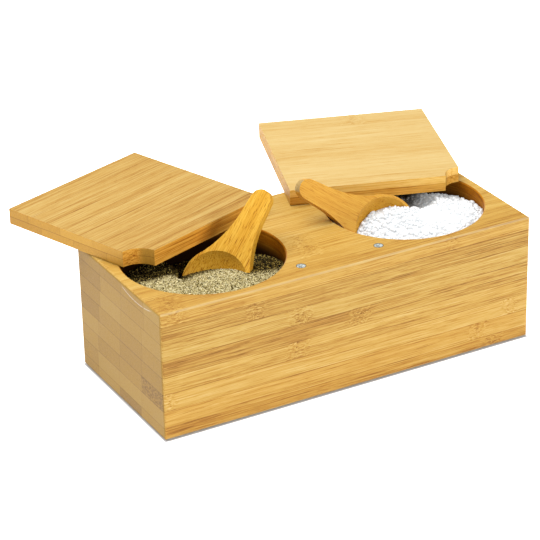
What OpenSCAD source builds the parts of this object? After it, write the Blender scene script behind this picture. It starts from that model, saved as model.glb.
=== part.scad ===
// Double bamboo salt box: a laminated block bored with two round wells, each closed by
// its own square lid that swivels on an upright pin, with a spoon standing in each well.
// Millimetres. X runs along the block, Y from front to back, Z up from the table.
// Drawn as photographed: both lids swung open, pepper in the left well, salt in the right.

/* [View] */
// Which part to draw

/* [Block] */
// Wall between a well and the end of the block
end_wall = 5.2; // [4.8:0.1:7]
// Wall between a well and the front or back of the block
side_wall = 4.7; // [4.4:0.1:6]
// Solid web between the two wells
middle_web = 32.4; // [31:0.1:40]
// Thickness of the top and bottom boards
outer_board = 6.55; // [6.2:0.05:6.9]
// Thickness of each of the six boards between them
inner_board = 8.65; // [8.4:0.05:8.9]
// Rounding of the upright and top edges
edge_round = 1.2; // [0.6:0.1:1.8]
// Rounding of the bottom edges
foot_round = 1.8; // [0.8:0.1:2.4]

/* [Wells] */
// Radius of both wells
well_radius = 39.3; // [39:0.1:41]
// Small bevel around the mouth of each well
mouth_bevel = 0.5; // [0.2:0.1:0.8]

/* [Lids] */
// Step from the block's faces in to the edges of a closed lid
lid_margin = 0.5; // [0.3:0.1:0.8]
// Thickness of each of the two plies of a lid
lid_ply = 4; // [3.6:0.1:4.6]
// Air between the block and a lid
lid_gap = 0.3; // [0.2:0.05:0.5]
// Radius of the finger notch in the left lid's inner front corner
left_notch = 10.4; // [9:0.1:10.6]
// Radius of the finger notch in the right lid's inner front corner
right_notch = 8.8; // [8.8:0.1:10.4]
// How far the left lid is swung open
left_open = 70.2; // [70.2:0.1:76]
// How far the right lid is swung open
right_open = 71.3; // [71.3:0.1:77]

/* [Pins and magnets] */
// Radius of the steel pivot pins
pin_radius = 2; // [1.6:0.1:2.4]
// Depth of the pins in the block
pin_depth = 14; // [10:0.5:22]
// Radius of the disc magnets
magnet_radius = 2.4; // [2:0.1:2.5]
// Thickness of the disc magnets
magnet_thickness = 2; // [1.5:0.1:2.5]

/* [Spoons] */
// Radius of the spoon head
head_radius = 17; // [16.4:0.1:17]
// Thickness of the blank each spoon is cut from
spoon_thickness = 5.4; // [4.8:0.1:5.4]
// Depth of the whole head, with its domed back
head_depth = 9.5; // [8.6:0.1:9.5]
// Radius of the hollow at the face
hollow_radius = 15.8; // [15:0.1:16]
// Depth of the hollow
hollow_depth = 6.6; // [5:0.1:6.8]

/* [Filling] */
// Depth of the pepper's highest point below the rim
pepper_drop = 4.8; // [4.2:0.1:5.6]
// Depth of the salt's highest point below the rim
salt_drop = 0.8; // [0.5:0.1:1.4]
// Height above the rim of the salt heaped on its spoon
heap_rise = 1.2; // [0.8:0.1:1.8]

/* [Hidden] */
$fn = 96;

bamboo = [0.86, 0.66, 0.38];
bamboo_light = [0.90, 0.73, 0.46];
bamboo_dark = [0.78, 0.55, 0.26];
steel = [0.75, 0.75, 0.76];
salt_white = [0.95, 0.95, 0.96];
pepper_grey = [0.52, 0.47, 0.35];

block_top = 2 * outer_board + 6 * inner_board;
block_depth = 2 * (well_radius + side_wall);
block_length = 2 * end_wall + 4 * well_radius + middle_web;
well_offset = middle_web / 2 + well_radius;
lid_side = block_depth - 2 * lid_margin;
lid_centre = block_length / 2 - lid_margin - lid_side / 2;
lid_low = block_top + lid_gap;
lid_mid = lid_low + lid_ply;
lid_high = lid_mid + lid_ply;
// pivot position, measured in from the inner and the back edge of a closed lid
pivot_in = 8.5;
pivot_back = 11.5;
pivot_x = lid_centre - lid_side / 2 + pivot_in;
pivot_y = lid_side / 2 - pivot_back;
pin_reach = 6;
pin_play = 0.05;
end_play = 0.3;
seat_play = 0.02;
// magnet position, measured in from the inner and the front edge of a closed lid
magnet_in = 8.5;
magnet_front = 10.5;
magnet_x = lid_centre - lid_side / 2 + magnet_in;
magnet_y = magnet_front - lid_side / 2;
magnet_sink = 0.05;
fill_radius = well_radius - 0.1;
scoop_play = 0.3;

// spoon outline: neck fillets run into the head circle, then a tapering grip
neck_end = 40;
neck_half = 5.3;
neck_circle = head_radius - 0.2;
neck_fillet = (pow(neck_end, 2) + pow(neck_half, 2) - pow(neck_circle, 2))
            / (2 * (neck_circle - neck_half));
neck_wide = (neck_half + neck_fillet) * neck_circle / (neck_circle + neck_fillet);
grip_end = 44.9;
grip_half = 4.9;
// height of the upright side of the head, above its domed back
head_side = spoon_thickness - 0.8;

// how the spoons stand: turn about the grip, lean, heading; and head centre, measured
// from the web's side of the well and from the rim
pepper_pose = [27.6, -52, 8.9];
pepper_inset = head_radius + 19.7;
pepper_at = [-middle_web / 2 - pepper_inset, -7.4, block_top - 12];
salt_pose = [-64.4, -34, 161];
salt_inset = head_radius + 7.6;
salt_at = [middle_web / 2 + salt_inset, -6.6, block_top - 7.2];
// direction in which each spoon lifts out, as tilt from upright and heading
lift_tilt = 36;
pepper_lift = -80;
salt_lift = -90;
// round core of filling around each head, along the lift direction, placed from the head
pepper_core = head_radius + 0.5;
pepper_core_at = pepper_at + [-0.3, 9.38, -13];
salt_core = head_radius + 2.4;
salt_core_at = salt_at + [-1.77, 15.04, -17.8];
// flat that trims the salt core on its wall side: bearing about the core, and distance
salt_flat = [-40.7, head_radius - 0.2];
core_length = block_top;
reach = 1.5 * block_depth;
// gently domed tops of the filling, placed from the well centres
pepper_dome = 180;
pepper_peak = [10.5, -36];
salt_dome = 100;
salt_peak = [4.5, -14];
// salt heaped on the spoon, and the hollow that the spoon has dug behind it
heap_dome = 34;
heap_peak = [-7.5, -5];
dip_radius = 20;
dip_peak = [7.5, 11];
dip_rise = 8.5;

module rounded_rect(w, d, r) {
  union() {
    square([w - 2 * r, d], center = true);
    square([w, d - 2 * r], center = true);
    for (x = [-1, 1], y = [-1, 1])
      translate([x * (w / 2 - r), y * (d / 2 - r)]) circle(r);
  }
}

module footprint(z, h) {
  translate([0, 0, z]) linear_extrude(h) rounded_rect(block_length, block_depth, edge_round);
}

// side profiles that round the top edges along X and along Y
module round_top() {
  lift = block_top / 2;
  translate([-block_length / 2 - 1, 0, lift]) rotate([90, 0, 90])
    linear_extrude(block_length + 2) rounded_rect(block_depth, block_top, edge_round);
}

module round_top_ends() {
  lift = block_top / 2;
  translate([0, block_depth / 2 + 1, lift]) rotate([90, 0, 0])
    linear_extrude(block_depth + 2) rounded_rect(block_length, block_top, edge_round);
}

module round_foot() {
  lift = block_top / 2;
  translate([-block_length / 2 - 1, 0, lift]) rotate([90, 0, 90])
    linear_extrude(block_length + 2) rounded_rect(block_depth, block_top, foot_round);
}

module round_foot_ends() {
  lift = block_top / 2;
  translate([0, block_depth / 2 + 1, lift]) rotate([90, 0, 0])
    linear_extrude(block_depth + 2) rounded_rect(block_length, block_top, foot_round);
}

module wells(z, h) {
  for (s = [-1, 1]) translate([s * well_offset, 0, z]) cylinder(h = h, r = well_radius);
}

module mouth_bevels() {
  for (s = [-1, 1])
    translate([s * well_offset, 0, block_top - mouth_bevel])
      cylinder(h = 2 * mouth_bevel, r1 = well_radius, r2 = well_radius + 2 * mouth_bevel);
}

module pin_bores(z, h) {
  for (s = [-1, 1])
    translate([s * pivot_x, pivot_y, z]) cylinder(h = h, r = pin_radius + seat_play);
}

module magnet_bores() {
  deep = magnet_thickness + magnet_sink;
  for (s = [-1, 1])
    translate([s * magnet_x, magnet_y, block_top - deep])
      cylinder(h = deep + 1, r = magnet_radius + seat_play);
}

// boards are counted from the top
function board_low(n) = n == 8 ? 0 : block_top - outer_board - (n - 1) * inner_board;

module inner_board_at(n) {
  low = board_low(n);
  pin_foot = block_top - pin_depth;
  color(n % 2 == 0 ? bamboo : bamboo_light) difference() {
    footprint(low, inner_board);
    wells(low - 1, inner_board + 2);
    if (pin_foot < low + inner_board)
      pin_bores(max(pin_foot, low - 1), low + inner_board + 1 - max(pin_foot, low - 1));
  }
}

module body_board_1() {
  low = board_low(1);
  color(bamboo_light) difference() {
    intersection() {
      footprint(low, outer_board);
      round_top();
      round_top_ends();
    }
    wells(low - 1, outer_board + 2);
    mouth_bevels();
    pin_bores(low - 1, outer_board + 2);
    magnet_bores();
  }
}

module body_board_2() { inner_board_at(2); }
module body_board_3() { inner_board_at(3); }
module body_board_4() { inner_board_at(4); }
module body_board_5() { inner_board_at(5); }
module body_board_6() { inner_board_at(6); }
module body_board_7() { inner_board_at(7); }

module body_board_8() {
  color(bamboo) intersection() {
    footprint(0, outer_board);
    round_foot();
    round_foot_ends();
  }
}

module pivot_pin(s) {
  color(steel) translate([s * pivot_x, pivot_y, block_top - pin_depth])
    cylinder(h = pin_depth + lid_gap + pin_reach, r = pin_radius);
}

module left_pivot_pin() { pivot_pin(-1); }
module right_pivot_pin() { pivot_pin(1); }

module body_magnet(s) {
  color(steel) translate([s * magnet_x, magnet_y, block_top - magnet_sink - magnet_thickness])
    cylinder(h = magnet_thickness, r = magnet_radius);
}

module left_body_magnet() { body_magnet(-1); }
module right_body_magnet() { body_magnet(1); }

// swings a closed lid on its pin: s is -1 for the left lid and 1 for the right
module swung(s) {
  turn = s < 0 ? -left_open : right_open;
  translate([s * pivot_x, pivot_y, 0]) rotate([0, 0, turn])
    translate([-s * pivot_x, -pivot_y, 0]) children();
}

module lid_plate(s, z) {
  notch = s < 0 ? left_notch : right_notch;
  inner = lid_centre - lid_side / 2;
  difference() {
    translate([s * lid_centre - lid_side / 2, -lid_side / 2, z]) cube([lid_side, lid_side, lid_ply]);
    translate([s * inner, -lid_side / 2, z - 1]) cylinder(h = lid_ply + 2, r = notch);
    translate([s * pivot_x, pivot_y, lid_low - 1])
      cylinder(h = pin_reach + end_play + 1, r = pin_radius + pin_play);
  }
}

module lid_top(s) {
  color(bamboo_light) swung(s) lid_plate(s, lid_mid);
}

module lid_bottom(s) {
  deep = magnet_thickness + magnet_sink;
  color(bamboo_dark) swung(s) difference() {
    lid_plate(s, lid_low);
    translate([s * magnet_x, magnet_y, lid_low - 1])
      cylinder(h = deep + 1, r = magnet_radius + seat_play);
  }
}

module lid_magnet(s) {
  color(steel) swung(s) translate([s * magnet_x, magnet_y, lid_low + magnet_sink])
    cylinder(h = magnet_thickness, r = magnet_radius);
}

module left_lid_top_ply() { lid_top(-1); }
module left_lid_bottom_ply() { lid_bottom(-1); }
module left_lid_magnet() { lid_magnet(-1); }
module right_lid_top_ply() { lid_top(1); }
module right_lid_bottom_ply() { lid_bottom(1); }
module right_lid_magnet() { lid_magnet(1); }

// flat outline of a spoon, head at the origin and grip along X
module spoon_outline() {
  union() {
    difference() {
      translate([0, -neck_wide]) square([neck_end, 2 * neck_wide]);
      for (s = [-1, 1])
        translate([neck_end, s * (neck_half + neck_fillet)]) circle(neck_fillet);
    }
    polygon([[neck_end - 0.5, 0.1 - neck_half], [neck_end, -neck_half], [grip_end, -grip_half],
             [grip_end, grip_half], [neck_end, neck_half], [neck_end - 0.5, neck_half - 0.1]]);
    translate([grip_end, 0]) circle(grip_half);
  }
}

module spoon_solid() {
  crown = head_depth - head_side;
  dome = (pow(head_radius, 2) + pow(crown, 2)) / (2 * crown);
  bowl = (pow(hollow_radius, 2) + pow(hollow_depth, 2)) / (2 * hollow_depth);
  difference() {
    union() {
      translate([0, 0, -spoon_thickness]) linear_extrude(spoon_thickness) spoon_outline();
      intersection() {
        translate([0, 0, -head_depth]) cylinder(h = head_depth, r = head_radius);
        translate([0, 0, dome - head_depth]) sphere(dome);
      }
    }
    translate([0, 0, bowl - hollow_depth]) sphere(bowl);
  }
}

module pepper_spoon() {
  color(bamboo) translate(pepper_at) rotate(pepper_pose) spoon_solid();
}

module salt_spoon() {
  color(bamboo) translate(salt_at) rotate(salt_pose) spoon_solid();
}

// filling of one well up to a shallow dome
module heap_zone(s, r, peak, top, dome) {
  intersection() {
    translate([s * well_offset, 0, outer_board]) cylinder(h = block_top, r = r);
    translate([s * well_offset + peak[0], peak[1], top - dome]) sphere(dome);
  }
}

module core(at, heading, r) {
  translate(at) rotate([0, lift_tilt, heading])
    cylinder(h = 2 * core_length, r = r, center = true);
}

module salt_zone(play) {
  intersection() {
    core(salt_core_at, salt_lift, salt_core + play);
    translate(salt_core_at) rotate([0, lift_tilt, salt_lift]) rotate([0, 0, salt_flat[0]])
      translate([salt_flat[1] + play - reach, -reach / 2, -core_length])
        cube([reach, reach, 2 * core_length]);
  }
}

// everything on the bowl side of a spoon, down to a depth below its face
module spoon_side(at, pose, depth) {
  translate(at) rotate(pose) translate([-reach / 2, -reach / 2, -depth]) cube([reach, reach, reach]);
}

// what is behind and beside a spoon's head, towards a bearing about the head
module beside_head(at, pose, bearing) {
  translate(at) rotate(pose) rotate([0, 0, bearing])
    translate([hollow_radius + 0.1, -reach / 2, -reach]) cube([reach, reach, reach + 2.3]);
}

module dip() {
  translate([well_offset + dip_peak[0], dip_peak[1], block_top + dip_rise]) sphere(dip_radius);
}

module pepper_fill() {
  color(pepper_grey) difference() {
    heap_zone(-1, fill_radius, pepper_peak, block_top - pepper_drop, pepper_dome);
    intersection() {
      core(pepper_core_at, pepper_lift, pepper_core + scoop_play);
      spoon_side(pepper_at, pepper_pose, head_depth + scoop_play);
    }
  }
}

module salt_fill() {
  color(salt_white) difference() {
    heap_zone(1, fill_radius, salt_peak, block_top - salt_drop, salt_dome);
    intersection() {
      salt_zone(scoop_play);
      spoon_side(salt_at, salt_pose, head_depth + scoop_play);
    }
    dip();
  }
}

// filling that lies in and on each spoon and leaves the well with it
module pepper_scoop() {
  color(pepper_grey) difference() {
    intersection() {
      heap_zone(-1, well_radius - scoop_play, pepper_peak, block_top - pepper_drop, pepper_dome);
      core(pepper_core_at, pepper_lift, pepper_core);
      spoon_side(pepper_at, pepper_pose, spoon_thickness);
    }
    translate(pepper_at) rotate(pepper_pose) spoon_solid();
    beside_head(pepper_at, pepper_pose, 125);
  }
}

module salt_scoop() {
  color(salt_white) difference() {
    intersection() {
      union() {
        heap_zone(1, well_radius - scoop_play, salt_peak, block_top - salt_drop, salt_dome);
        heap_zone(1, well_radius - scoop_play, heap_peak, block_top + heap_rise, heap_dome);
      }
      salt_zone(0);
      spoon_side(salt_at, salt_pose, spoon_thickness);
    }
    translate(salt_at) rotate(salt_pose) spoon_solid();
    dip();
  }
}

body_board_1();
body_board_2();
body_board_3();
body_board_4();
body_board_5();
body_board_6();
body_board_7();
body_board_8();
left_pivot_pin();
right_pivot_pin();
left_body_magnet();
right_body_magnet();
left_lid_top_ply();
left_lid_bottom_ply();
left_lid_magnet();
right_lid_top_ply();
right_lid_bottom_ply();
right_lid_magnet();
pepper_fill();
salt_fill();
pepper_spoon();
salt_spoon();
pepper_scoop();
salt_scoop();
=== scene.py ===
import math

import bpy
import numpy as np
from mathutils import Matrix, Vector
from mathutils.bvhtree import BVHTree


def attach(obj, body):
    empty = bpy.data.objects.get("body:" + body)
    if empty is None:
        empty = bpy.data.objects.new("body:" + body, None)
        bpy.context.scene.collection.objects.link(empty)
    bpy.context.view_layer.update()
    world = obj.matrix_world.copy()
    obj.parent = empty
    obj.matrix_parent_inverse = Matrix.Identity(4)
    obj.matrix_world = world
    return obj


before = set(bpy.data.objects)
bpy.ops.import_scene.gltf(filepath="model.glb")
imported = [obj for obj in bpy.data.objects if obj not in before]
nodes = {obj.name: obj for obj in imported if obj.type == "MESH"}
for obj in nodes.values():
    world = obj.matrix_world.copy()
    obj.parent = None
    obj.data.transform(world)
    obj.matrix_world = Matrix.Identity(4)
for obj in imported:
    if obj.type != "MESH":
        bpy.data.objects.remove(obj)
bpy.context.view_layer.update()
scene = bpy.context.scene

# sizes in mm, as in the CAD source
MM = 1000.0
BLOCK_HALF_LENGTH, BLOCK_HALF_DEPTH, BLOCK_TOP = 100.0, 44.0, 65.0
OUTER_BOARD, INNER_BOARD = 6.55, 8.65
INNER_BOARDS = 6
# the boards' faces, from the top down
BOARD_Z = [BLOCK_TOP - OUTER_BOARD - n * INNER_BOARD for n in range(INNER_BOARDS + 1)]
BOARD_Z = [BLOCK_TOP, *BOARD_Z, 0.0]
WELL_X, WELL_R = 55.5, 39.2
PIVOT_X, PIVOT_Y = 21.0, 32.0
MAGNET_X, MAGNET_Y = 21.0, -33.0
MAGNET_FACE_R, MAGNET_RIM_R = 1.95, 2.25
LID_CENTRE, LID_HALF = 56.0, 43.5
LID_Z = (65.3, 69.3, 73.3)
# how far each lid is turned from closed, in degrees
LID_OPEN = {"left": -70.2, "right": 71.3}
SIDE_SIGN = {"left": -1, "right": 1}
# where each spoon's own axes start, and their turn about X, Y and Z, in degrees
SPOON_PLACE = {"pepper": (-52.9, -7.4, 53.0), "salt": (40.8, -6.6, 57.8)}
SPOON_TURN = {"pepper": (27.6, -52.0, 8.9), "salt": (-64.4, -34.0, 161.0)}


# colour
def linear(c):
    c = c / 255.0
    return c / 12.92 if c <= 0.04045 else ((c + 0.055) / 1.055) ** 2.4


def tint(r, g, b, k=1.0):
    """A display colour under the studio light, as the surface's own colour."""
    return (linear(r) * k, linear(g) * k, linear(b) * k, 1.0)


def palette(steps, *colours):
    return list(zip(steps, colours))


def warmed(tones, w):
    """The same tones, more orange for w over 0 and greener for w under 0."""
    change = (1 + 0.012 * w, 1 - 0.016 * w, 1 - 0.09 * w)
    return [(step, tuple(c * f for c, f in zip(colour, change))) for step, colour in tones]


# node helpers
class Value:
    """A socket with arithmetic, which adds Math nodes to its tree."""

    def __init__(self, tree, socket):
        self.tree, self.socket = tree, socket

    def calculate(self, operation, *others, clamp=False):
        n = self.tree.nodes.new("ShaderNodeMath")
        n.operation, n.use_clamp = operation, clamp
        for i, x in enumerate((self, *others)):
            if isinstance(x, Value):
                self.tree.links.new(x.socket, n.inputs[i])
            else:
                n.inputs[i].default_value = x
        return Value(self.tree, n.outputs[0])

    def __add__(self, other):
        return self.calculate("ADD", other)

    def __sub__(self, other):
        return self.calculate("SUBTRACT", other)

    def __mul__(self, other):
        return self.calculate("MULTIPLY", other)

    def __abs__(self):
        return self.calculate("ABSOLUTE")

    def over(self, x):
        return self.calculate("GREATER_THAN", x)

    def most(self, x):
        return self.calculate("MAXIMUM", x)

    def clamp(self):
        return self.calculate("ADD", 0.0, clamp=True)

    def ease(self, a, b):
        """0 at a, 1 at b, smooth between, also where b is under a."""
        n = self.tree.nodes.new("ShaderNodeMapRange")
        n.interpolation_type = "SMOOTHSTEP"
        settings = (a, b, 0.0, 1.0) if a < b else (b, a, 1.0, 0.0)
        for i, x in enumerate(settings):
            n.inputs[i + 1].default_value = x
        self.tree.links.new(self.socket, n.inputs[0])
        return Value(self.tree, n.outputs[0])


class Look:
    """A material with a Principled shader and the tools to build its nodes."""

    def __init__(self, name):
        self.mat = bpy.data.materials.new(name)
        self.mat.use_nodes = True
        self.tree = self.mat.node_tree
        self.shader = self.tree.nodes["Principled BSDF"]
        self.coord = self.tree.nodes.new("ShaderNodeTexCoord")

    def along(self, output, direction):
        n = self.tree.nodes.new("ShaderNodeVectorMath")
        n.operation = "DOT_PRODUCT"
        self.tree.links.new(self.coord.outputs[output], n.inputs[0])
        n.inputs[1].default_value = direction
        return Value(self.tree, n.outputs["Value"])

    def place(self):
        """The point's x, y and z, mm."""
        return [self.along("Object", d) * MM for d in ((1, 0, 0), (0, 1, 0), (0, 0, 1))]

    def xyz(self, *parts):
        n = self.tree.nodes.new("ShaderNodeCombineXYZ")
        for i, x in enumerate(parts):
            if isinstance(x, Value):
                self.tree.links.new(x.socket, n.inputs[i])
            else:
                n.inputs[i].default_value = x
        return n.outputs[0]

    def noise(self, vector, detail=1.0, rough=0.5):
        n = self.tree.nodes.new("ShaderNodeTexNoise")
        n.inputs["Scale"].default_value = 1.0
        n.inputs["Detail"].default_value = detail
        n.inputs["Roughness"].default_value = rough
        self.tree.links.new(vector, n.inputs["Vector"])
        return Value(self.tree, n.outputs["Fac"])

    def cells(self, vector, output="Distance"):
        n = self.tree.nodes.new("ShaderNodeTexVoronoi")
        n.inputs["Scale"].default_value = 1.0
        self.tree.links.new(vector, n.inputs["Vector"])
        return Value(self.tree, n.outputs[output])

    def random(self, value):
        n = self.tree.nodes.new("ShaderNodeTexWhiteNoise")
        n.noise_dimensions = "1D"
        self.tree.links.new(value.socket, n.inputs["W"])
        return Value(self.tree, n.outputs["Value"])

    def ramp(self, value, stops):
        n = self.tree.nodes.new("ShaderNodeValToRGB")
        elements = n.color_ramp.elements
        while len(elements) < len(stops):
            elements.new(0.5)
        for element, (step, colour) in zip(elements, stops):
            element.position, element.color = step, colour
        self.tree.links.new(value.socket, n.inputs[0])
        return n.outputs[0]

    def tones(self, value, tones, k):
        return self.ramp(value, [(step, tint(*colour, k)) for step, colour in tones])

    def mix(self, amount, a, b, blend="MIX"):
        n = self.tree.nodes.new("ShaderNodeMix")
        n.data_type, n.blend_type = "RGBA", blend
        for socket, x in ((n.inputs[0], amount), (n.inputs[6], a), (n.inputs[7], b)):
            if isinstance(x, Value):
                self.tree.links.new(x.socket, socket)
            elif isinstance(x, bpy.types.NodeSocket):
                self.tree.links.new(x, socket)
            else:
                socket.default_value = x
        return n.outputs[2]

    def colour(self, socket):
        self.tree.links.new(socket, self.shader.inputs["Base Color"])

    def drives(self, value, name):
        self.tree.links.new(value.socket, self.shader.inputs[name])

    def sets(self, name, value):
        self.shader.inputs[name].default_value = value

    def bump(self, value, strength, distance):
        n = self.tree.nodes.new("ShaderNodeBump")
        n.inputs["Strength"].default_value = strength
        n.inputs["Distance"].default_value = distance
        self.tree.links.new(value.socket, n.inputs["Height"])
        self.tree.links.new(n.outputs[0], self.shader.inputs["Normal"])


# bamboo
WIDE_STEPS = (0.0, 0.28, 0.5, 0.72, 1.0)
NEAR_STEPS = (0.0, 0.3, 0.5, 0.75, 1.0)
BOX_TONES = palette(
    WIDE_STEPS, (134, 78, 14), (190, 132, 44), (219, 170, 74), (233, 191, 100), (248, 219, 148))
LID_TONES = palette(
    WIDE_STEPS, (150, 92, 24), (203, 146, 58), (227, 180, 92), (238, 198, 114), (250, 225, 158))
PALE_TONES = palette(
    WIDE_STEPS, (190, 128, 46), (228, 180, 92), (243, 206, 130), (249, 218, 148), (254, 236, 182))
SPOON_TONES = palette(
    NEAR_STEPS, (140, 76, 4), (204, 138, 20), (229, 172, 52), (242, 196, 80), (250, 216, 118))
END_TONES = palette(
    NEAR_STEPS, (122, 79, 22), (176, 131, 50), (202, 156, 60), (218, 177, 85), (236, 201, 120))
CAP_TONES = palette(
    NEAR_STEPS, (140, 106, 48), (180, 146, 80), (210, 176, 100), (224, 196, 126), (238, 216, 156))
BORED_TONES = palette((0.3, 0.5, 0.7), (156, 86, 8), (206, 126, 20), (238, 168, 52))
# painted shade at the bottom of the wells
WELL_PAINTED_SHADE = (52, 28, 8)
# painted highlight on the block's rounded edges
EDGE_PAINTED_HIGHLIGHT = (255, 236, 186)
SCRATCH_TONE = (250, 246, 236)
# how much of a display colour the surface itself has
ALBEDO = 0.56
# what a strip's joint adds to the number that its noise is drawn from
STRIP_STEP = 3.7
# mm from a glue line where its shade starts and where it is full
GLUE_REACH = (0.26, 0.02)
SEAM_REACH = (0.2, 0.04)
# painted shade in the wells: their colour runs from the painted shade's tone to their own one between these
# heights
WALL_PAINTED_SHADE_Z, WALL_UNSHADED_Z = 53.0, 63.0


class Bamboo(Look):
    """Wood glued up from strips. u runs along the grain, v across the strips and w through the layers, mm."""

    def __init__(self, name, axes, origin, joints, seed):
        super().__init__(name)
        start = [sum(a * b for a, b in zip(axis, origin)) for axis in axes]
        self.u, self.v, self.w = (self.along("Object", axis) * MM - s for axis, s in zip(axes, start))
        self.facing = [abs(self.along("Normal", axis)) for axis in axes]
        self.joints, self.seed = joints, seed
        self.strip = self.v * 0.0 + seed
        for joint in joints:
            self.strip = self.strip + self.v.over(joint) * STRIP_STEP

    def band(self, v0, v1):
        """1 between v0 and v1 across the strips."""
        return self.v.ease(v0 - 0.1, v0 + 0.1) * self.v.ease(v1 + 0.1, v1 - 0.1)

    def knuckle_masks(self, knuckles):
        """The bands where a strip's culm had a node, and their cores. knuckles: (along, v0, v1, size), mm."""
        knot, core = self.v * 0.0, self.v * 0.0
        for along, v0, v1, size in knuckles:
            window = self.band(v0, v1)
            wander = self.noise(self.xyz(self.v * 0.28, self.w * 0.36, self.seed + along), 1.0) - 0.5
            off = abs(self.u - along + wander * 6.0)
            knot = knot.most(off.ease(size, size * 0.2) * window)
            core = core.most(off.ease(size * 0.22, 0.0) * window)
        return knot, core

    def glue_masks(self, layer, glue):
        """The glue lines at the layer's lower and upper faces, and between the strips."""
        line, seam = self.v * 0.0, self.v * 0.0
        if glue[0]:
            line = line.most((self.w - layer[0]).ease(*GLUE_REACH))
        if glue[1]:
            line = line.most((self.w * -1.0 + layer[1]).ease(*GLUE_REACH))
        for joint in self.joints:
            seam = seam.most(abs(self.v - joint).ease(*SEAM_REACH))
        return line, seam

    def long_grain(self, knot, core, streaks, fibre, dashes):
        """How far faces along the grain differ from their mean, under 0 for darker."""
        u, v, w, strip = self.u, self.v, self.w, self.strip
        # the fibres wander along a strip, and part round a knuckle
        ticks = self.noise(self.xyz(u * 0.55 + v * 0.2, v * 1.9, w * 1.9 + self.seed), 2.0, 0.6)
        sway = self.noise(self.xyz(u * 0.16, v * 0.2 + strip, w * 0.2), 1.0)
        drift = self.noise(self.xyz(u * 0.011, strip * 5.1, 0.0), 1.0) - 0.5
        bulge = (sway - 0.5) * knot * 6.0
        vv = v + strip * 13.7 + drift * 3.0 + bulge
        ww = w + strip * 5.3 + drift * 1.4 + bulge
        # bands, streaks and fibres, each finer than the last, then thin dark lines and short dashes
        broad = self.noise(self.xyz(u * 0.0045, vv * 0.16, ww * 0.19), 2.0, 0.55)
        self.mid = self.noise(self.xyz(u * 0.015, vv * 1.25, ww * 1.4), 2.0, 0.7)
        self.fine = self.noise(self.xyz(u * 0.045, vv * 2.4, ww * 2.4), 2.0, 0.7)
        lines = self.noise(self.xyz(u * 0.012, vv * 1.8 + 7.0, ww * 1.9), 1.0).ease(0.59, 0.66)
        self.dash = self.noise(self.xyz(u * 0.22, vv * 2.6, ww * 2.6), 1.0).ease(0.57, 0.67)
        self.pits = self.cells(self.xyz(u * 0.8, v * 1.0, w * 1.0 + self.seed)).ease(0.16, 0.05) * knot
        grain = (broad - 0.5) * (0.56 * streaks) + (self.mid - 0.5) * (0.58 * streaks)
        grain = grain + (self.fine - 0.5) * fibre - lines * (0.20 * streaks) - self.dash * dashes
        grain = grain - knot * ((ticks - 0.47) * 0.8 + 0.01) - core * (ticks.ease(0.50, 0.60) * 0.16)
        return grain - self.pits * 0.25

    def end_grain(self):
        """The same for sawn ends, where the bundles show as dots."""
        self.dots = self.cells(self.xyz(self.v * 1.7, self.w * 1.7, self.seed)).ease(0.34, 0.12)
        self.flecks = self.noise(self.xyz(self.v * 1.3, self.w * 1.3, self.strip * 3.1), 3.0, 0.7)
        return (self.flecks - 0.5) * 0.34 - self.dots * 0.16

    def scratched(self, colour, end, k, v0, v1, height, bow, amount):
        """A pale bowed scratch on the left end."""
        middle, half = (v0 + v1) / 2, (v1 - v0) / 2
        q = (self.v - middle) * (1.0 / half)
        near = abs(self.w - (q * q * bow + height)).ease(0.34, 0.08) * abs(q).ease(1.0, 0.8)
        broken = self.noise(self.xyz(self.v * 0.5, self.w * 0.5, 3.0), 2.0).ease(0.32, 0.5)
        left = self.u.over(0.0).ease(1.0, 0.0)
        return self.mix(near * broken * end * left * amount, colour, tint(*SCRATCH_TONE, k))

    def bored_walls(self, colour, end_shade, k):
        """The wells' dull walls with the cutter's rings, painted shade that darkens them with depth, and a
        painted highlight on the block's rounded edges.
        """
        across = abs(self.u) - WELL_X
        bored = (across * across + self.v * self.v).ease((WELL_R + 0.75) ** 2, (WELL_R + 0.35) ** 2)
        rings = self.noise(self.xyz(self.u * 0.05, self.v * 0.05, self.w * 2.6 + self.seed), 2.0, 0.7)
        ringed = (rings * 0.7 + self.mid * 0.3 + (end_shade - 0.5) * 0.1).clamp()
        # painted shade: the walls darken from the top down
        unshaded = self.w.ease(WALL_PAINTED_SHADE_Z, WALL_UNSHADED_Z)
        wall = self.mix(unshaded, tint(*WELL_PAINTED_SHADE, k), self.tones(ringed, BORED_TONES, k))
        colour = self.mix(bored, colour, wall)
        # painted highlight: a pale line on the rounded edges between the top or bottom and the front or back
        painted_highlight = self.facing[1].ease(0.2, 0.5) * self.facing[2].ease(0.2, 0.5)
        self.drives(bored * -0.2 + 0.25, "Specular IOR Level")
        return self.mix(painted_highlight * 0.3, colour, tint(*EDGE_PAINTED_HIGHLIGHT, k))


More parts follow.
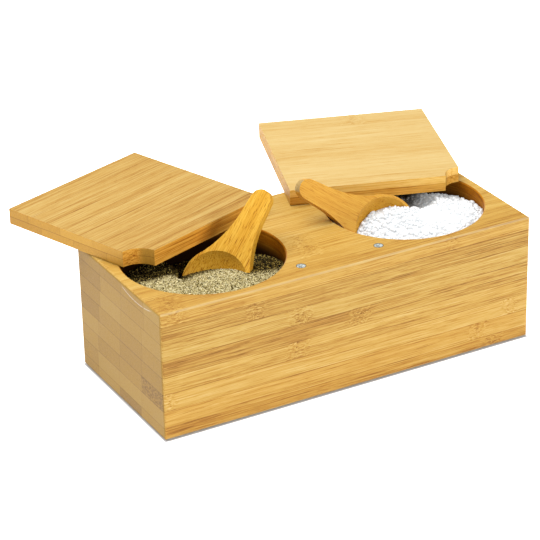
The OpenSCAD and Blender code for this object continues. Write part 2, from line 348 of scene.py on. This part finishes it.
def bamboo(name, axes, origin, joints, seed, tones, ends=END_TONES, tone=0.0, spread=0.22, k=ALBEDO,
           layer=(0.0, 0.0), glue=(False, False), knuckles=(), streaks=1.0, fibre=1.0, dashes=0.10,
           edge=None, end_gain=0.78, wells=False, dark_strip=None, scratch=None):
    """layer: its two faces along w, and glue: which of them are glued. edge: what the faces across the
    layers are multiplied by: painted light that lightens them, with a change in their own hue.
    dark_strip: (v0, v1, amount). scratch: as in Bamboo.scratched."""
    m = Bamboo(name, axes, origin, joints, seed)
    end = m.facing[0].ease(0.62, 0.9)
    strip_shade, end_shade = m.random(m.strip), m.random(m.strip + 41.3)
    knot, core = m.knuckle_masks(knuckles)
    line, seam = m.glue_masks(layer, glue)
    grain = m.long_grain(knot, core, streaks, fibre, dashes) + (strip_shade - 0.5) * spread + (0.5 + tone)
    sawn = m.end_grain() + (end_shade - 0.5) * (spread * 1.15) + (0.5 + tone * 0.6)
    grain = grain - line * 0.28 - seam * 0.16
    sawn = sawn - line * 0.30 - seam * 0.20
    if dark_strip:
        v0, v1, amount = dark_strip
        sawn = sawn - m.band(v0, v1) * (m.flecks.ease(0.40, 0.62) * amount)
    colour = m.tones(grain.clamp(), tones, k)
    # painted light: the upright faces are lightened by the edge multiplier
    if edge:
        upright = m.facing[2].ease(0.5, 0.2)
        colour = m.mix(upright, colour, m.mix(1.0, colour, (*edge, 1.0), "MULTIPLY"))
    colour = m.mix(end, colour, m.tones(sawn.clamp(), ends, k * end_gain))
    if scratch:
        colour = m.scratched(colour, end, k, *scratch)
    if wells:
        colour = m.bored_walls(colour, end_shade, k)
    else:
        m.sets("Specular IOR Level", 0.25)
    m.colour(colour)
    m.drives((m.mid - 0.5) * 0.22 + 0.46 + end * 0.10, "Roughness")
    relief = m.fine * 0.6 - m.dash * 0.4 - line * 0.6 - seam * 0.5 * end - m.dots * end * 0.3 - m.pits
    m.bump(relief, 0.20, 0.00016)
    m.sets("IOR", 1.45)
    return m.mat


def put(node, mat):
    """Gives a CAD node its material."""
    piece = nodes[node]
    piece.data.materials.clear()
    piece.data.materials.append(mat)


def turn_z(degrees):
    return Matrix.Rotation(math.radians(degrees), 3, "Z")


# the block's grain runs along X, its strips lie across Y and its layers in Z
BLOCK_AXES = [(1.0, 0.0, 0.0), (0.0, 1.0, 0.0), (0.0, 0.0, 1.0)]
# for each board from the top: the strips' joints in mm from the back edge, and the knuckles of the front
# strip and of the second, as (mm from the left end, size)
BOARDS = [
    {"joints": (25, 47.7, 71), "tone": 0.09, "warmth": 0.0, "seed": 11.2,
     "front": [(9, 7.5), (155, 5.0)], "second": [(91, 8.0)]},
    {"joints": (24.7, 47, 70.7), "tone": -0.02, "warmth": -0.9, "seed": 23.7,
     "front": [(49, 8.0)]},
    {"joints": (23.5, 45.7, 67.5), "tone": 0.0, "warmth": -0.9, "seed": 35.1,
     "front": [(72, 8.5)]},
    {"joints": (21.3, 44.6, 67.3), "tone": 0.02, "warmth": -0.6, "seed": 47.9,
     "front": [(104, 9.0)]},
    {"joints": (20, 43.3, 66), "tone": -0.03, "warmth": -0.2, "seed": 58.3,
     "front": [(69, 8.5)]},
    {"joints": (18.8, 42, 65.4), "tone": 0.10, "warmth": 0.2, "seed": 66.6,
     "front": [(189, 6.5), (2.5, 4.0)]},
    {"joints": (17.5, 40.8, 64.6), "tone": 0.0, "warmth": 0.8, "seed": 74.2,
     "front": [(170, 8.0)]},
    {"joints": (17.3, 40.8, 63.5), "tone": -0.03, "warmth": 1.0, "seed": 83.5,
     "front": [(180, 8.0)]},
]
PAST_FRONT = -46.0
DARK_STRIP_BOARD, DARK_STRIP_AMOUNT = 5, 0.45
SCRATCH_BOARD = 0
# from the back edge: the scratch's two ends, its height, how far it bows and how strong it is
SCRATCH_SPAN, SCRATCH_SHAPE = (80.0, 48.0), (61.2, 2.2, 0.5)

for i, board in enumerate(BOARDS):
    joints = sorted(BLOCK_HALF_DEPTH - j for j in board["joints"])
    knuckles = [(along - BLOCK_HALF_LENGTH, PAST_FRONT, joints[0], size) for along, size in board["front"]]
    for along, size in board.get("second", ()):
        knuckles.append((along - BLOCK_HALF_LENGTH, joints[0], joints[1], size))
    options = {}
    if i == DARK_STRIP_BOARD:
        options["dark_strip"] = (PAST_FRONT, joints[0], DARK_STRIP_AMOUNT)
    if i == SCRATCH_BOARD:
        options["scratch"] = (*(BLOCK_HALF_DEPTH - s for s in SCRATCH_SPAN), *SCRATCH_SHAPE)
    look = bamboo(f"bamboo_board_{i + 1}", BLOCK_AXES, (0.0, 0.0, 0.0), joints, board["seed"],
                  warmed(BOX_TONES, board["warmth"]), tone=board["tone"], knuckles=knuckles, wells=True,
                  layer=(BOARD_Z[i + 1], BOARD_Z[i]), glue=(i < len(BOARDS) - 1, i > 0), **options)
    put(f"body_board_{i + 1}", look)

# the lids' grain runs front to back when they are closed, so it turns with them
# strips' joints in mm from a lid's inner edge
LID_JOINTS = (8.0, 30.0, 52.0, 74.0)
# how the lower ply differs from the upper one
LOWER_PLY_SHIFT, LOWER_PLY_TONE, LOWER_PLY_SEED = 9.0, -0.06, 17.7
# on the right lid: how far along from its middle, from and to across as LID_JOINTS, and size
LID_KNUCKLE = (-4.5, 74.0, 90.0, 9.0)
# edge: painted light that lightens each lid's upright faces, with a change in their hue
LIDS = {
    "left": {"tones": LID_TONES, "seed": 101.3, "streaks": 1.2, "k": 0.50, "edge": (1.75, 1.45, 0.84)},
    "right": {"tones": PALE_TONES, "seed": 131.9, "streaks": 0.6, "k": 0.525, "edge": (1.70, 1.56, 1.10)},
}

for side, lid in LIDS.items():
    sign = SIDE_SIGN[side]
    turn = turn_z(LID_OPEN[side])
    pivot = Vector((sign * PIVOT_X, PIVOT_Y, 0))
    centre = pivot + turn @ (Vector((sign * LID_CENTRE, 0, 0)) - pivot)
    axes = [tuple(turn @ Vector((0, 1, 0))), tuple(turn @ Vector((1, 0, 0))), (0.0, 0.0, 1.0)]
    inner = -sign * LID_HALF
    joints = sorted(inner + sign * j for j in LID_JOINTS)
    # the lids' sawn ends are warmer in their own colour, and lightened by end_gain with painted light where
    # they face away from the lamps
    shared = {"ends": warmed(END_TONES, 1.2), "spread": 0.14, "end_gain": 1.4,
              "streaks": lid["streaks"], "k": lid["k"], "edge": lid["edge"]}
    knuckles = []
    if side == "right":
        along, v0, v1, size = LID_KNUCKLE
        knuckles = [(along, inner + v0, inner + v1, size)]
    look = bamboo(f"bamboo_{side}_top", axes, (centre.x, centre.y, 0.0), joints, lid["seed"], lid["tones"],
                  layer=LID_Z[1:], glue=(True, False), knuckles=knuckles, **shared)
    put(f"{side}_lid_top_ply", look)
    joints = [j + LOWER_PLY_SHIFT for j in joints]
    look = bamboo(f"bamboo_{side}_bottom", axes, (centre.x, centre.y, 0.0), joints,
                  lid["seed"] + LOWER_PLY_SEED, LID_TONES, tone=LOWER_PLY_TONE,
                  layer=LID_Z[:2], glue=(False, True), **shared)
    put(f"{side}_lid_bottom_ply", look)

# the spoons' grain runs along the handle
SPOONS = {
    "pepper": {"tones": SPOON_TONES, "ends": SPOON_TONES, "tone": 0.06, "seed": 211.0,
               "dashes": 0.32, "k": 0.74},
    "salt": {"tones": warmed(SPOON_TONES, 1.8), "ends": CAP_TONES, "tone": 0.0, "seed": 251.0,
             "dashes": 0.2, "k": 0.66},
}

for kind, spoon in SPOONS.items():
    x, y, z = (math.radians(a) for a in SPOON_TURN[kind])
    turn = Matrix.Rotation(z, 3, "Z") @ Matrix.Rotation(y, 3, "Y") @ Matrix.Rotation(x, 3, "X")
    axes = [tuple(turn.col[n]) for n in range(3)]
    look = bamboo(f"bamboo_spoon_{kind}", axes, SPOON_PLACE[kind], [],
                  streaks=0.4, fibre=0.8, end_gain=1.0, **spoon)
    put(f"{kind}_spoon", look)


# metal
def steel(name, colour, rough):
    m = Look(name)
    x, y, z = m.place()
    cloud = m.noise(m.xyz(x * 0.8, y * 0.8, z * 0.8), 3.0, 0.6)
    dark = (*(c * 0.62 for c in colour[:3]), 1.0)
    m.colour(m.ramp(cloud, [(0.3, dark), (0.7, colour)]))
    m.drives((cloud - 0.5) * 0.25 + rough, "Roughness")
    m.bump(cloud, 0.25, 0.00008)
    m.sets("Metallic", 1.0)
    return m.mat


def magnet_look(name, centre_x, centre_y):
    """A nickel disc: painted shade round its rim, where it sits in its hole, and a scuffed face."""
    m = Look(name)
    x, y, _ = m.place()
    x, y = x - centre_x, y - centre_y
    # painted shade: dark round the disc's rim
    painted_rim_shade = (x * x + y * y).ease(MAGNET_FACE_R ** 2, MAGNET_RIM_R ** 2)
    scuff = m.noise(m.xyz(x * 1.3, y * 1.3, 0.4), 3.0, 0.7)
    face = m.ramp(scuff, [(0.35, tint(104, 112, 108, 0.7)), (0.5, tint(160, 170, 166, 0.7)),
                          (0.65, tint(226, 234, 232, 0.8))])
    m.colour(m.mix(painted_rim_shade, face, tint(58, 50, 40, 0.8)))
    m.drives((scuff - 0.5) * 0.3 + 0.42, "Roughness")
    m.bump(scuff, 0.5, 0.0002)
    m.sets("Metallic", 0.35)
    return m.mat


pin = steel("pin_steel", tint(180, 182, 184, 0.8), 0.28)
for side, sign in SIDE_SIGN.items():
    pivot = Vector((sign * PIVOT_X, PIVOT_Y, 0))
    turned = pivot + turn_z(LID_OPEN[side]) @ Vector((sign * (MAGNET_X - PIVOT_X), MAGNET_Y - PIVOT_Y, 0))
    put(f"{side}_body_magnet", magnet_look(f"magnet_{side}_body", sign * MAGNET_X, MAGNET_Y))
    put(f"{side}_lid_magnet", magnet_look(f"magnet_{side}_lid", turned.x, turned.y))
    put(f"{side}_pivot_pin", pin)


# salt and pepper
def grain_look(name, stops, painted_shade_stops, painted_shade_at, scale, rough, bump, loose=False, painted_glow=0.0):
    """stops: the tones in the light, and painted_shade_stops: the painted shade's tones where
    painted_shade_at says 1. painted_glow: painted light that the crystals give off, fading out in that shade.
    """
    m = Look(name)
    x, y, z = m.place()
    cells = m.xyz(x * scale, y * scale, z * scale)
    cloud = m.noise(m.xyz(x * 0.4, y * 0.4, z * 0.4), 2.0)
    shade = painted_shade_at(x, y)
    if loose:
        own = m.tree.nodes.new("ShaderNodeAttribute")
        own.attribute_name = "grain"
        value = Value(m.tree, own.outputs["Fac"])
    else:
        value = m.cells(cells, "Color")
    value = (value + (cloud - 0.5) * 0.25).clamp()
    # painted shade: the grains take the darker tones where the mask says 1
    m.colour(m.mix(shade, m.ramp(value, stops), m.ramp(value, painted_shade_stops)))
    m.drives((cloud - 0.5) * 0.2 + rough, "Roughness")
    m.bump(m.cells(cells), bump, 0.0004)
    # painted light: the salt glows, fading out in its painted shade
    if painted_glow:
        m.sets("Emission Color", (0.92, 0.97, 1.0, 1.0))
        m.drives(shade * -painted_glow + painted_glow, "Emission Strength")
    else:
        m.sets("Specular IOR Level", 0.08)
    return m.mat


def pepper_painted_shade(x, y):
    """Painted shade: 1 under the left lid, and behind the spoon."""
    return y.ease(-4.0, 3.0).most(x.ease(-45.0, -38.0) * y.ease(-24.0, -15.0))


def salt_painted_shade(x, y):
    """Painted shade: 1 in the dip that the spoon has left."""
    return (x - y).ease(70.0, 50.0) * y.ease(6.0, 16.0)


# the pepper's gain, and how strongly the salt glows with painted light
PEPPER_GAIN, SALT_PAINTED_GLOW = 0.76, 0.17
PEPPER_STOPS = [(0.0, tint(46, 37, 18, PEPPER_GAIN)), (0.2, tint(92, 77, 40, PEPPER_GAIN)),
                (0.36, tint(160, 144, 90, PEPPER_GAIN)), (0.62, tint(204, 189, 134, PEPPER_GAIN)),
                (1.0, tint(244, 234, 192, PEPPER_GAIN))]
# the pepper's tones in its painted shade
PEPPER_PAINTED_SHADE = [(0.0, tint(3, 2, 1, PEPPER_GAIN)), (0.42, tint(20, 15, 5, PEPPER_GAIN)),
               (0.64, tint(80, 64, 24, PEPPER_GAIN)), (0.82, tint(160, 136, 62, PEPPER_GAIN)),
               (1.0, tint(232, 206, 118, PEPPER_GAIN))]
SALT_STOPS = [(0.0, (0.49, 0.505, 0.515, 1)), (0.3, (0.53, 0.54, 0.545, 1)), (1.0, (0.57, 0.575, 0.575, 1))]
SALT_BED_STOPS = [(0.0, (0.53, 0.54, 0.55, 1)), (0.5, (0.57, 0.58, 0.59, 1)), (1.0, (0.61, 0.62, 0.63, 1))]
# the salt's tones in its painted shade
SALT_PAINTED_SHADE = [(0.0, (0.07, 0.064, 0.058, 1)), (0.5, (0.13, 0.125, 0.12, 1)), (1.0, (0.26, 0.255, 0.25, 1))]

pepper_bed = grain_look("pepper_bed", PEPPER_STOPS, PEPPER_PAINTED_SHADE, pepper_painted_shade, 1.9, 0.85, 0.9)
pepper_loose = grain_look("pepper_loose", PEPPER_STOPS, PEPPER_PAINTED_SHADE, pepper_painted_shade, 3.0, 0.8, 0.3, loose=True)
salt_bed = grain_look("salt_bed", SALT_BED_STOPS, SALT_PAINTED_SHADE, salt_painted_shade, 0.7, 0.5, 0.2, painted_glow=SALT_PAINTED_GLOW)
salt_loose = grain_look("salt_loose", SALT_STOPS, SALT_PAINTED_SHADE, salt_painted_shade, 0.9, 0.3, 0.1, loose=True,
                        painted_glow=SALT_PAINTED_GLOW)
for kind, look in (("pepper", pepper_bed), ("salt", salt_bed)):
    put(f"{kind}_fill", look)
    put(f"{kind}_scoop", look)


def mesh_of(piece):
    """A piece's vertices, mm, and its triangles."""
    mesh = piece.data
    mesh.calc_loop_triangles()
    vertices = np.array([x.co for x in mesh.vertices], float) * MM
    return vertices, np.array([t.vertices for t in mesh.loop_triangles], int)


def tree_of(piece):
    vertices, faces = mesh_of(piece)
    return BVHTree.FromPolygons([tuple(x) for x in vertices], [tuple(int(i) for i in t) for t in faces])


def add_piece(name, mesh, body, look):
    mesh.materials.append(look)
    piece = bpy.data.objects.new(name, mesh)
    scene.collection.objects.link(piece)
    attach(piece, body)
    return piece


def smooth(x, a, b):
    """0 at a, 1 at b, smooth between, also where b is under a."""
    q = min(max((x - a) / (b - a), 0.0), 1.0)
    return q * q * (3 - 2 * q)


# the pepper is heaped against the well's wall at the left: a low drift on the filling
DRIFT_TOP, DRIFT_SLOPE, DRIFT_RIPPLE = 59.7, 0.30, 0.25
# its fan round the well's middle, in degrees from +X, and its grid
DRIFT_FROM, DRIFT_TO = 98, 262
DRIFT_SPOKES, DRIFT_RINGS = 56, 18
DRIFT_INNER, DRIFT_OUTER = 4.0, WELL_R - 0.1
# where it starts to rise and where it is full, and how far both move to the right per mm towards the back
DRIFT_EDGE, DRIFT_FULL, DRIFT_LEAN = -63.5, -73.0, 0.35
DRIFT_FRONT_EDGE, DRIFT_FRONT_FULL = -38.0, -28.0
# how far its edge lies under the filling, and its underside
DRIFT_SUNK, DRIFT_UNDER = 0.5, 1.2
# the filling's height where a ray misses it, at the wall
DRIFT_BASE = 55.0


def drift_rise(x, y):
    """0 where the filling lies as drawn, to 1 where the drift is full."""
    lean = DRIFT_LEAN * max(y, 0.0)
    rise = smooth(x, DRIFT_EDGE + lean, DRIFT_FULL + lean)
    return rise * smooth(y, DRIFT_FRONT_EDGE, DRIFT_FRONT_FULL)


def drift_points():
    """The drift's upper points, its lower points and how far each is risen, spoke by spoke."""
    tree = tree_of(nodes["pepper_fill"])
    upper, lower, rises = [], [], []
    for i in range(DRIFT_SPOKES):
        turn = math.radians(DRIFT_FROM + (DRIFT_TO - DRIFT_FROM) * i / (DRIFT_SPOKES - 1))
        for j in range(DRIFT_RINGS):
            reach = DRIFT_INNER + (DRIFT_OUTER - DRIFT_INNER) * j / (DRIFT_RINGS - 1)
            x, y = -WELL_X + reach * math.cos(turn), reach * math.sin(turn)
            hit = tree.ray_cast(Vector((x, y, BLOCK_TOP - 0.1)), Vector((0, 0, -1)))[0]
            base = hit.z if hit else DRIFT_BASE
            rise = drift_rise(x, y)
            crest = DRIFT_TOP + DRIFT_RIPPLE * math.sin(x * 0.9 + y * 0.5) - DRIFT_SLOPE * max(y, 0.0)
            height = base - DRIFT_SUNK + (max(crest - base, 0.0) + DRIFT_SUNK) * rise
            upper.append((x / MM, y / MM, height / MM))
            lower.append((x / MM, y / MM, (base - DRIFT_UNDER) / MM))
            rises.append(rise)
    return upper, lower, rises


def pepper_drift():
    """A closed mesh, only where the drift rises: its top, its underside, and walls along the open edges."""
    upper, lower, rises = drift_points()
    below = len(upper)
    faces, edges = [], set()
    for i in range(DRIFT_SPOKES - 1):
        for j in range(DRIFT_RINGS - 1):
            a = i * DRIFT_RINGS + j
            quad = (a, a + 1, a + DRIFT_RINGS + 1, a + DRIFT_RINGS)
            if max(rises[q] for q in quad) < 0.02:
                continue
            faces += [quad, tuple(q + below for q in reversed(quad))]
            edges.update(zip(quad, quad[1:] + quad[:1]))
    for a, b in sorted(edges):
        if (b, a) not in edges:
            faces.append((b, a, a + below, b + below))
    used = sorted({q for face in faces for q in face})
    order = {q: n for n, q in enumerate(used)}
    mesh = bpy.data.meshes.new("pepper_drift")
    mesh.from_pydata([(upper + lower)[q] for q in used], [], [tuple(order[q] for q in f) for f in faces])
    mesh.validate()
    mesh.polygons.foreach_set("use_smooth", [True] * len(mesh.polygons))
    return add_piece("pepper_drift", mesh, "box", pepper_bed)


# loose grains
def icosahedron():
    g = (1 + 5 ** 0.5) / 2
    corners = [(-1, g, 0), (1, g, 0), (-1, -g, 0), (1, -g, 0)]
    corners += [(0, -1, g), (0, 1, g), (0, -1, -g), (0, 1, -g)]
    corners += [(g, 0, -1), (g, 0, 1), (-g, 0, -1), (-g, 0, 1)]
    faces = [(0, 11, 5), (0, 5, 1), (0, 1, 7), (0, 7, 10), (0, 10, 11)]
    faces += [(1, 5, 9), (5, 11, 4), (11, 10, 2), (10, 7, 6), (7, 1, 8)]
    faces += [(3, 9, 4), (3, 4, 2), (3, 2, 6), (3, 6, 8), (3, 8, 9)]
    faces += [(4, 9, 5), (2, 4, 11), (6, 2, 10), (8, 6, 7), (9, 8, 1)]
    corners = np.array(corners, float)
    return corners / np.linalg.norm(corners[0]), np.array(faces)


def octahedron():
    corners = np.array([(1, 0, 0), (-1, 0, 0), (0, 1, 0), (0, -1, 0), (0, 0, 1), (0, 0, -1)], float)
    faces = [(0, 2, 4), (2, 1, 4), (1, 3, 4), (3, 0, 4), (2, 0, 5), (1, 2, 5), (3, 1, 5), (0, 3, 5)]
    return corners, np.array(faces)


def sample(piece, per_mm2, rng, keep):
    """Points on a piece's surface, mm, with the surface normals, where keep(points, normals) says so."""
    v, f = mesh_of(piece)
    a, b, c = v[f[:, 0]], v[f[:, 1]], v[f[:, 2]]
    n = np.cross(b - a, c - a)
    area = np.linalg.norm(n, axis=1) / 2
    good = area > 1e-9
    a, b, c, n, area = a[good], b[good], c[good], n[good], area[good]
    n = n / (2 * area)[:, None]
    count = int(area.sum() * per_mm2)
    pick = rng.choice(len(area), count, p=area / area.sum())
    r1, r2 = np.sqrt(rng.random(count))[:, None], rng.random(count)[:, None]
    points = a[pick] * (1 - r1) + b[pick] * r1 * (1 - r2) + c[pick] * r1 * r2
    kept = keep(points, n[pick])
    return points[kept], n[pick][kept]


def random_turns(count, rng):
    """Rotation matrices from random unit quaternions."""
    q = rng.normal(size=(count, 4))
    q /= np.linalg.norm(q, axis=1)[:, None]
    w, x, y, z = q.T
    rows = [[1 - 2 * (y * y + z * z), 2 * (x * y - z * w), 2 * (x * z + y * w)],
            [2 * (x * y + z * w), 1 - 2 * (x * x + z * z), 2 * (y * z - x * w)],
            [2 * (x * z - y * w), 2 * (y * z + x * w), 1 - 2 * (x * x + y * y)]]
    return np.stack([np.stack(row, 1) for row in rows], 1)


def grain_mesh(name, points, radii, grain, rng):
    """One mesh of many loose grains, each turned and shaped at random."""
    corners, faces = grain["shape"]
    count, per = len(points), len(corners)
    stretch = rng.uniform(*grain["stretch"], size=(count, 3))
    uneven = 1 + rng.uniform(-grain["jitter"], grain["jitter"], size=(count, per, 1))
    v = corners[None] * uneven * stretch[:, None, :] * radii[:, None, None]
    v = np.einsum("nij,nkj->nki", random_turns(count, rng), v) + points[:, None, :]
    f = faces[None] + (np.arange(count) * per)[:, None, None]
    triangles = count * len(faces)
    mesh = bpy.data.meshes.new(name)
    mesh.vertices.add(count * per)
    mesh.vertices.foreach_set("co", (v.reshape(-1, 3) / MM).astype(np.float32).ravel())
    mesh.loops.add(triangles * 3)
    mesh.loops.foreach_set("vertex_index", f.reshape(-1).astype(np.int32))
    mesh.polygons.add(triangles)
    mesh.polygons.foreach_set("loop_start", np.arange(0, triangles * 3, 3, dtype=np.int32))
    mesh.polygons.foreach_set("loop_total", np.full(triangles, 3, dtype=np.int32))
    mesh.update(calc_edges=True)
    own = mesh.attributes.new("grain", "FLOAT", "POINT")
    own.data.foreach_set("value", np.repeat(rng.random(count), per).astype(np.float32))
    return mesh


def clear_of(tree, points, radii):
    """True where a grain keeps off the surface in tree."""
    nearest = [tree.find_nearest(Vector(p), float(r))[0] for p, r in zip(points, radii)]
    return np.array([near is None for near in nearest], bool)


GRAINS = {
    "salt": {"well": WELL_X, "radius": (0.85, 1.5), "per_mm2": 0.5, "shape": icosahedron(),
             "stretch": (0.6, 1.15), "jitter": 0.22, "look": salt_loose},
    "pepper": {"well": -WELL_X, "radius": (0.26, 0.46), "per_mm2": 3.2, "shape": octahedron(),
               "stretch": (0.55, 1.2), "jitter": 0.2, "look": pepper_loose},
}
GRAIN_FLOOR, GRAIN_CEILING = 45, 65.2


def scatter(kind, piece, body, label, spoon, rng):
    """Strews grains on a piece: the bed and the drift stay under the closed lid, the heap is the spoon's."""
    grain = GRAINS[kind]

    def keep(p, n):
        r = np.hypot(p[:, 0] - grain["well"], p[:, 1])
        up = n[:, 2] > 0.2
        if label == "heap":
            return up | (r < WELL_R - 1.2)
        if label == "bed":
            return up & (r < WELL_R - 0.4) & (p[:, 2] > GRAIN_FLOOR)
        return up & (r < WELL_R - 0.4) & np.array([drift_rise(*q[:2]) > 0.15 for q in p])

    p, n = sample(piece, grain["per_mm2"], rng, keep)
    radii = rng.uniform(*grain["radius"], len(p))
    p = p + n * (radii * rng.uniform(-0.45, 0.35, len(p)))[:, None]
    # inside the well's wall
    dx, dy = p[:, 0] - grain["well"], p[:, 1]
    r = np.hypot(dx, dy)
    inside = np.where(p[:, 2] < BLOCK_TOP, np.minimum(r, WELL_R - radii * 0.9), r) / np.maximum(r, 1e-6)
    p = np.stack([grain["well"] + dx * inside, dy * inside, p[:, 2]], 1)
    if label != "heap":
        longest = radii * (1.0 + grain["jitter"]) * grain["stretch"][1]
        p[:, 2] = np.minimum(p[:, 2], GRAIN_CEILING - longest)
    clear = clear_of(spoon, p, radii * 0.8)
    name = f"{kind}_grains_{label}"
    add_piece(name, grain_mesh(name, p[clear], radii[clear], grain, rng), body, grain["look"])


drift = pepper_drift()
rng = np.random.default_rng(20251)
for kind in GRAINS:
    spoon = tree_of(nodes[f"{kind}_spoon"])
    scatter(kind, nodes[f"{kind}_fill"], "box", "bed", spoon, rng)
    scatter(kind, nodes[f"{kind}_scoop"], f"{kind}_spoon_body", "heap", spoon, rng)
    if kind == "pepper":
        scatter(kind, drift, "box", "drift", spoon, rng)


# studio
def paper_floor():
    """White paper, lit from below but for a thin line of painted contact shade round the block's foot."""
    half, depth = 6, -0.0002
    mesh = bpy.data.meshes.new("floor")
    corners = [(-half, -half, depth), (half, -half, depth), (half, half, depth), (-half, half, depth)]
    mesh.from_pydata(corners, [], [(0, 1, 2, 3)])
    floor = bpy.data.objects.new("floor", mesh)
    scene.collection.objects.link(floor)
    m = Look("floor_paper")
    x, y, _ = m.place()
    # painted contact shade: grey and dimmer close round the block's foot
    clear = (abs(x) - BLOCK_HALF_LENGTH).most(abs(y) - BLOCK_HALF_DEPTH).ease(-0.4, 1.5)
    m.colour(m.mix(clear, (0.42, 0.42, 0.43, 1.0), (0.80, 0.80, 0.80, 1.0)))
    m.drives(clear * 0.9 + 0.1, "Emission Strength")
    m.sets("Emission Color", (1.0, 1.0, 1.0, 1.0))
    m.sets("Roughness", 0.9)
    m.sets("Specular IOR Level", 0.1)
    mesh.materials.append(m.mat)


def studio_world():
    """White all round, brighter from above."""
    world = bpy.data.worlds.new("studio")
    world.use_nodes = True
    tree = world.node_tree
    background = tree.nodes["Background"]
    background.inputs["Color"].default_value = (1.0, 1.0, 1.0, 1.0)
    coord = tree.nodes.new("ShaderNodeTexCoord")
    split = tree.nodes.new("ShaderNodeSeparateXYZ")
    strength = tree.nodes.new("ShaderNodeMapRange")
    strength.inputs["To Min"].default_value = 0.10
    strength.inputs["To Max"].default_value = 0.90
    tree.links.new(coord.outputs["Generated"], split.inputs[0])
    tree.links.new(split.outputs["Z"], strength.inputs[0])
    tree.links.new(strength.outputs[0], background.inputs["Strength"])
    scene.world = world


def softbox(name, place, target, size, power):
    light = bpy.data.lights.new(name, "AREA")
    light.shape = "RECTANGLE"
    light.size, light.size_y, light.energy = *size, power
    lamp = bpy.data.objects.new(name, light)
    lamp.location = place
    lamp.rotation_mode = "QUATERNION"
    lamp.rotation_quaternion = (Vector(target) - Vector(place)).to_track_quat("-Z", "Y")
    scene.collection.objects.link(lamp)


def photo_camera(place, yaw, pitch, roll, lens):
    """A camera at the photograph's angle. yaw is from +Y towards +X and pitch is downwards, in degrees."""
    yaw, pitch, roll = (math.radians(a) for a in (yaw, pitch, roll))
    ahead = Vector((math.sin(yaw) * math.cos(pitch), math.cos(yaw) * math.cos(pitch), -math.sin(pitch)))
    level = Vector((math.cos(yaw), -math.sin(yaw), 0.0))
    up = level.cross(ahead)
    right = level * math.cos(roll) + up * math.sin(roll)
    top = up * math.cos(roll) - level * math.sin(roll)
    data = bpy.data.cameras.new("camera")
    data.lens, data.sensor_width = lens, 36.0
    data.clip_start, data.clip_end = 0.05, 50.0
    camera = bpy.data.objects.new("camera", data)
    scene.collection.objects.link(camera)
    rows = [(right[i], top[i], -ahead[i], place[i]) for i in range(3)]
    camera.matrix_world = Matrix((*rows, (0, 0, 0, 1)))
    scene.camera = camera


paper_floor()
studio_world()
softbox("key", (-0.40, 0.40, 1.45), (0, 0, 0.03), (1.4, 1.1), 34.0)
softbox("front", (0.60, -1.30, 0.75), (0, 0, 0.05), (0.9, 0.6), 14.5)
photo_camera((-0.50742, -0.90169, 0.55384), 28.41315, 26.23661, -1.33714, 159.2435)
scene.view_settings.view_transform = "Standard"
scene.view_settings.look = "None"
